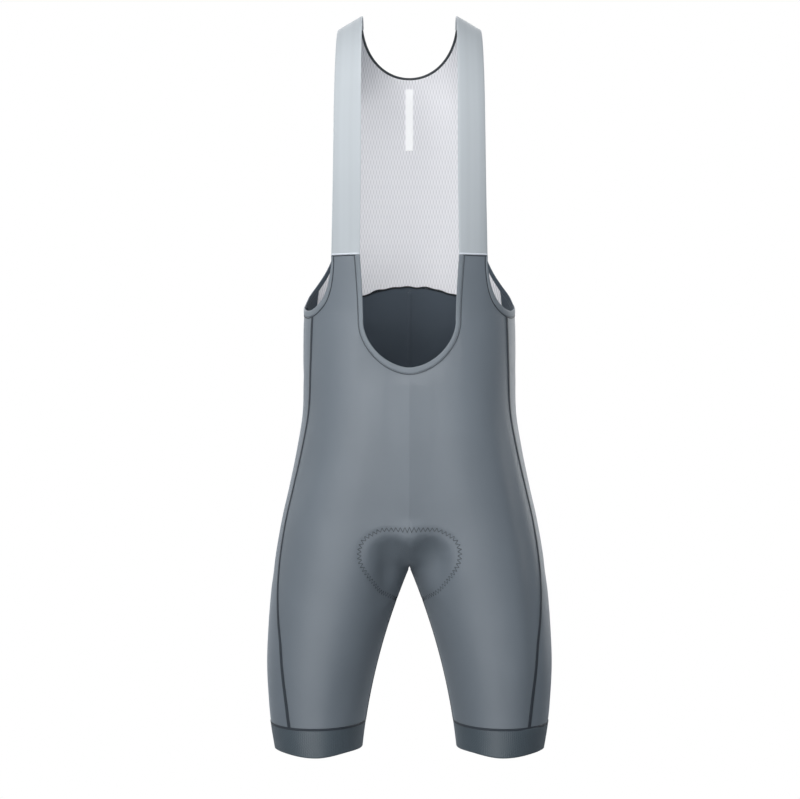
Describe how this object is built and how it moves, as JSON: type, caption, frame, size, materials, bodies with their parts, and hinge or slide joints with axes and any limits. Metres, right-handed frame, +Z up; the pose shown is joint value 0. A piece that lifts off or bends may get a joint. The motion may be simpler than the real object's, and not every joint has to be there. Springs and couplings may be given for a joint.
{
  "type": "cycling bib shorts",
  "caption": "Close-fitting cycling shorts with shoulder straps, a mesh back, a scooped front and a sewn-in seat pad, hollow as if worn.",
  "frame": {"origin": "midway between the two straps, at the height of their underside on the wearer's shoulders", "axes": "+X towards the wearer's left, -Y towards the front, +Z up along the standing body"},
  "size_m": [0.3548, 0.2346, 0.9154],
  "materials": {
    "front_lycra": "smooth knitted elastane, faint sheen",
    "side_lycra": "smooth knitted elastane, faint sheen",
    "seat_lycra": "smooth knitted elastane, faint sheen",
    "mesh": "matte open knit",
    "strap": "smooth bonded elastic",
    "gripper": "dense ribbed elastic",
    "binding": "folded elastane binding",
    "neck_binding": "narrow matte binding",
    "label": "smooth woven ribbon",
    "pad": "soft brushed foam laminate"
  },
  "bodies": {
    "root": {"front_left": "front_lycra", "front_right": "front_lycra", "side_left": "side_lycra", "side_right": "side_lycra", "seat_left": "seat_lycra", "seat_right": "seat_lycra", "back_mesh": "mesh", "strap_left": "strap", "strap_right": "strap", "gripper_left": "gripper", "gripper_right": "gripper", "scoop_binding": "binding", "armhole_binding_left": "binding", "armhole_binding_right": "binding", "neck_binding": "neck_binding", "neck_label": "label", "seat_pad": "pad"}
  },
  "joints": []
}
